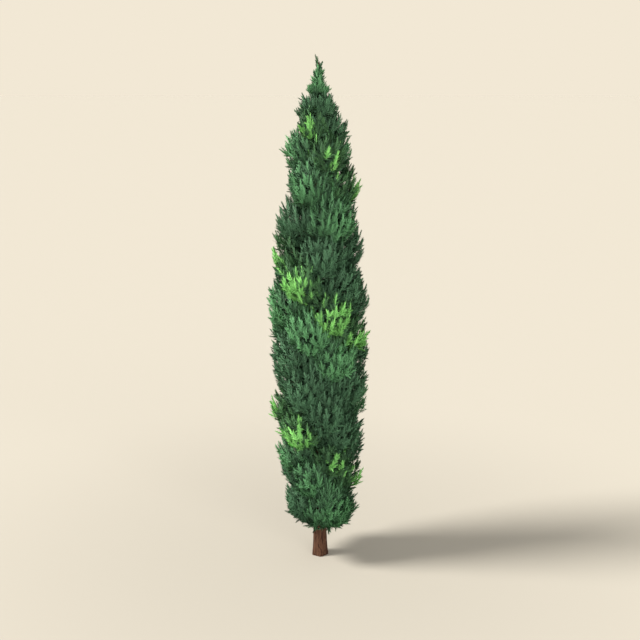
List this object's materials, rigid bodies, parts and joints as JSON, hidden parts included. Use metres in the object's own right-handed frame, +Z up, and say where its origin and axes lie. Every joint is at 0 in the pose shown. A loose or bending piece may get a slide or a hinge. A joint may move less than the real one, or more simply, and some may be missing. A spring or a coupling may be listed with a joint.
{
  "type": "italian cypress tree",
  "caption": "Tall narrow columnar evergreen: a short bare trunk under a dense spire of upright foliage masses that closes to one pointed leader.",
  "frame": {"origin": "middle of the flat cut under the trunk, at ground level", "axes": "+Z up along the trunk, -Y towards the front of the tree, +X to the right seen from the front"},
  "size_m": [1.9543, 2.0746, 10],
  "materials": {
    "bark": "rough, shallow vertical fissures",
    "dark_foliage": "matt, old scale leaves",
    "mid_foliage": "matt, scale leaves",
    "fresh_foliage": "matt, young scale leaves"
  },
  "bodies": {
    "root": {"trunk": "bark", "tier_01_plume_1": "mid_foliage", "tier_01_plume_2": "mid_foliage", "tier_01_plume_3": "dark_foliage", "tier_02_plume_1": "mid_foliage", "tier_02_plume_2": "fresh_foliage", "tier_02_plume_3": "dark_foliage", "tier_02_plume_4": "dark_foliage", "tier_03_plume_1": "mid_foliage", "tier_03_plume_2": "fresh_foliage", "tier_03_plume_3": "dark_foliage", "tier_03_plume_4": "fresh_foliage", "tier_04_plume_1": "fresh_foliage", "tier_04_plume_2": "dark_foliage", "tier_04_plume_3": "dark_foliage", "tier_04_plume_4": "mid_foliage", "tier_05_plume_1": "fresh_foliage", "tier_05_plume_2": "dark_foliage", "tier_05_plume_3": "mid_foliage", "tier_05_plume_4": "dark_foliage", "tier_06_plume_1": "dark_foliage", "tier_06_plume_2": "dark_foliage", "tier_06_plume_3": "fresh_foliage", "tier_06_plume_4": "dark_foliage", "tier_07_plume_1": "dark_foliage", "tier_07_plume_2": "mid_foliage", "tier_07_plume_3": "dark_foliage", "tier_07_plume_4": "mid_foliage", "tier_08_plume_1": "mid_foliage", "tier_08_plume_2": "fresh_foliage", "tier_08_plume_3": "dark_foliage", "tier_08_plume_4": "mid_foliage", "tier_09_plume_1": "mid_foliage", "tier_09_plume_2": "fresh_foliage", "tier_09_plume_3": "dark_foliage", "tier_09_plume_4": "fresh_foliage", "tier_10_plume_1": "fresh_foliage", "tier_10_plume_2": "dark_foliage", "tier_10_plume_3": "mid_foliage", "tier_10_plume_4": "dark_foliage", "tier_11_plume_1": "fresh_foliage", "tier_11_plume_2": "dark_foliage", "tier_11_plume_3": "dark_foliage", "tier_11_plume_4": "mid_foliage", "tier_12_plume_1": "mid_foliage", "tier_12_plume_2": "fresh_foliage", "tier_12_plume_3": "dark_foliage", "tier_13_plume_1": "mid_foliage", "tier_13_plume_2": "fresh_foliage", "tier_13_plume_3": "dark_foliage", "tier_14_plume_1": "mid_foliage", "tier_14_plume_2": "fresh_foliage", "tier_14_plume_3": "mid_foliage", "tier_15_plume_1": "fresh_foliage", "tier_15_plume_2": "dark_foliage", "tier_15_plume_3": "fresh_foliage", "tier_16_plume_1": "dark_foliage", "tier_16_plume_2": "dark_foliage", "tier_16_plume_3": "dark_foliage", "leader": "mid_foliage"}
  },
  "joints": []
}
